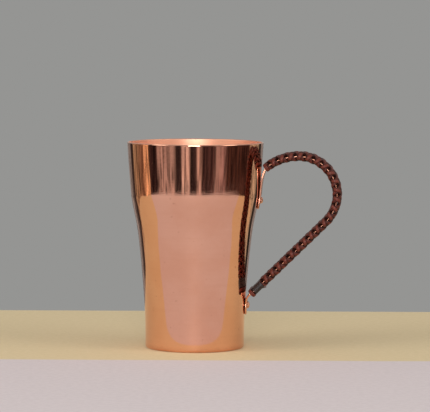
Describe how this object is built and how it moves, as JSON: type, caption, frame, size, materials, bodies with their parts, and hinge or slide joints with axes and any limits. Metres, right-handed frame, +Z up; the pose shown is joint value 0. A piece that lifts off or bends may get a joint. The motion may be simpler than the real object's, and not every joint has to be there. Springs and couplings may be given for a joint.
{
  "type": "copper mug",
  "caption": "Tall waisted copper drinking mug spun from one sheet, with a looped copper strap handle riveted on at both ends and covered in an open braid of dark lace.",
  "frame": {"origin": "centre of the cup's flat underside", "axes": "+Z up along the cup's axis, +X towards the handle, +Y across the handle's plane"},
  "size_m": [0.132, 0.0838, 0.127],
  "materials": {
    "copper_cup": "mirror polished copper with fine spin lines",
    "copper_strap": "polished copper with small hammer and file marks",
    "braid_cord": "dark red-brown waxed leather lace, satin",
    "whipping_thread": "waxed blackish thread, semi-matt"
  },
  "bodies": {
    "root": {"cup": "copper_cup", "handle_strap": "copper_strap", "upper_rivet": "copper_strap", "lower_rivet": "copper_strap", "strand_1": "braid_cord", "strand_2": "braid_cord", "strand_3": "braid_cord", "strand_4": "braid_cord", "strand_5": "braid_cord", "strand_6": "braid_cord", "strand_7": "braid_cord", "strand_8": "braid_cord", "upper_end_turn": "braid_cord", "lower_end_turn": "braid_cord", "whipping": "whipping_thread", "cord_tail": "braid_cord"}
  },
  "joints": []
}
